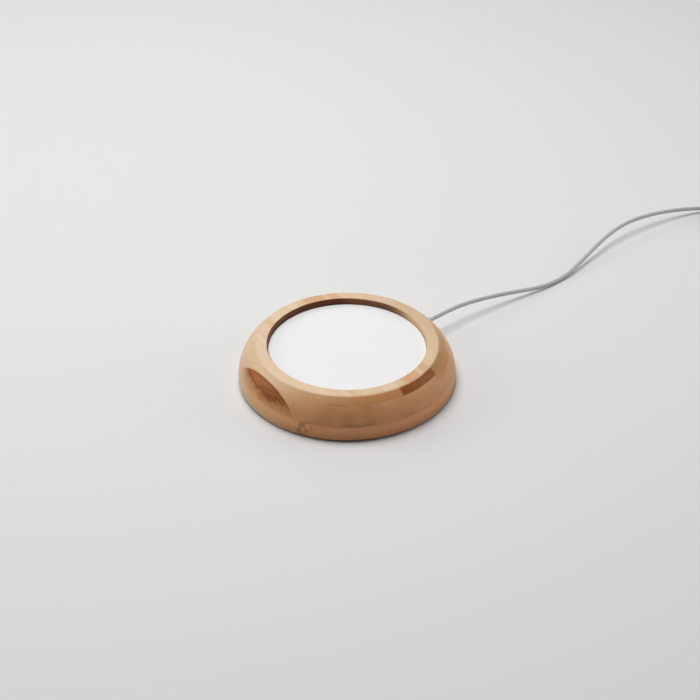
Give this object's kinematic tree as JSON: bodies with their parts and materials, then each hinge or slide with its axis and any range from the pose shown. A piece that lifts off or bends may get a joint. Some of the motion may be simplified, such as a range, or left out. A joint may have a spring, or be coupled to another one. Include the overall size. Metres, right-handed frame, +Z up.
{
  "type": "wireless charging pad",
  "caption": "Round wireless charging pad: turned bamboo ring with a recessed white plate, coil and board inside, and a fixed thin lead with a USB plug.",
  "frame": {"origin": "on the table, under the centre of the pad's underside", "axes": "+Z up, +Y to the back of the pad, away from the viewer, +X to the right"},
  "size_m": [0.3078, 0.2249, 0.021],
  "materials": {
    "bamboo": "laminated bamboo, sanded and oiled, satin",
    "white_plastic": "fine matt",
    "adhesive_tape": "satin",
    "litz_copper": "enamelled copper strands",
    "ferrite": "sintered, matt",
    "sensor_glass": "glossy bead",
    "board_laminate": "solder mask, semi-gloss",
    "chip_epoxy": "moulded epoxy",
    "capacitor_ceramic": "fired ceramic with tinned ends",
    "resistor_ceramic": "glazed ceramic with tinned ends",
    "nickel_steel": "nickel plated",
    "cover_plastic": "fine spark texture",
    "foot_rubber": "matt",
    "grommet_rubber": "matt moulding",
    "red_insulation": "smooth",
    "black_insulation": "smooth",
    "cord_sheath": "soft satin sheath",
    "tie_strap": "hook and loop strap",
    "plug_moulding": "fine matt moulding",
    "tongue_plastic": "satin",
    "contact_gold": "gold flash"
  },
  "bodies": {
    "root": {"bamboo_ring": "bamboo", "top_plate": "white_plastic", "plate_tape": "adhesive_tape", "coil_tape": "adhesive_tape", "transmit_coil": "litz_copper", "coil_leads": "litz_copper", "ferrite_disc": "ferrite", "temperature_sensor": "sensor_glass", "circuit_board": "board_laminate", "controller_chip": "chip_epoxy", "bridge_mosfets": "chip_epoxy", "resonant_capacitors": "capacitor_ceramic", "filter_inductor": "ferrite", "ceramic_capacitors": "capacitor_ceramic", "chip_resistors": "resistor_ceramic", "crystal": "nickel_steel", "board_screws": "nickel_steel", "bottom_cover": "cover_plastic", "cover_screws": "nickel_steel", "rubber_feet": "foot_rubber", "cord_grommet": "grommet_rubber", "positive_wire": "red_insulation", "negative_wire": "black_insulation", "cord_lead": "cord_sheath", "cord_coil": "cord_sheath", "cord_tail": "cord_sheath", "cord_tie": "tie_strap", "plug_grip": "plug_moulding", "plug_shell": "nickel_steel", "plug_tongue": "tongue_plastic", "plug_contacts": "contact_gold"}
  },
  "joints": []
}
